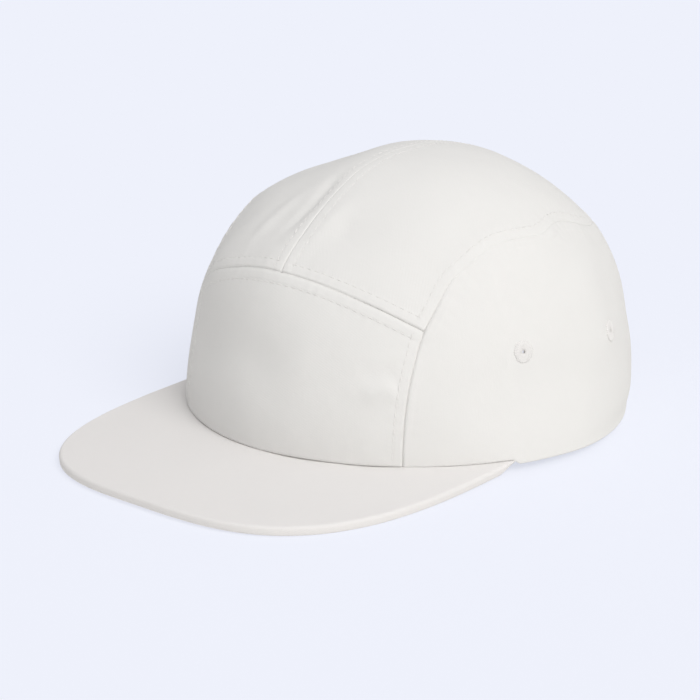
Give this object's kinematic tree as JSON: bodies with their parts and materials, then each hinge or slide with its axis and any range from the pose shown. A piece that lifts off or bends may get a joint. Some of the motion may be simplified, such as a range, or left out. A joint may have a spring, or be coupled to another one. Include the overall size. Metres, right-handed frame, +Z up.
{
  "type": "five panel cap",
  "caption": "Soft five panel cap with a shaped crown, flat brim, stitched eyelets and a strap and buckle over an opening at the back.",
  "frame": {"origin": "on the surface that the cap rests on, under the middle of its length from brim to back and the middle of its width", "axes": "+Z up, the front of the cap and its brim towards -Y, the wearer's left towards +X"},
  "size_m": [0.1816, 0.2578, 0.1068],
  "materials": {
    "crown_twill": "matt off-white cotton twill",
    "brim_twill": "matt off-white cotton twill over a board",
    "band_cotton": "matt off-white cotton",
    "strap_twill": "matt off-white cotton twill, folded",
    "buckle_plastic": "satin off-white plastic",
    "eyelet_thread": "close off-white stitches with a low sheen"
  },
  "bodies": {
    "root": {"front_panel": "crown_twill", "top_panel_left": "crown_twill", "top_panel_right": "crown_twill", "side_panel_left": "crown_twill", "side_panel_right": "crown_twill", "brim": "brim_twill", "sweatband": "band_cotton", "back_strap": "strap_twill", "strap_buckle": "buckle_plastic", "eyelet_left_front": "eyelet_thread", "eyelet_left_rear": "eyelet_thread", "eyelet_right_front": "eyelet_thread", "eyelet_right_rear": "eyelet_thread"}
  },
  "joints": []
}
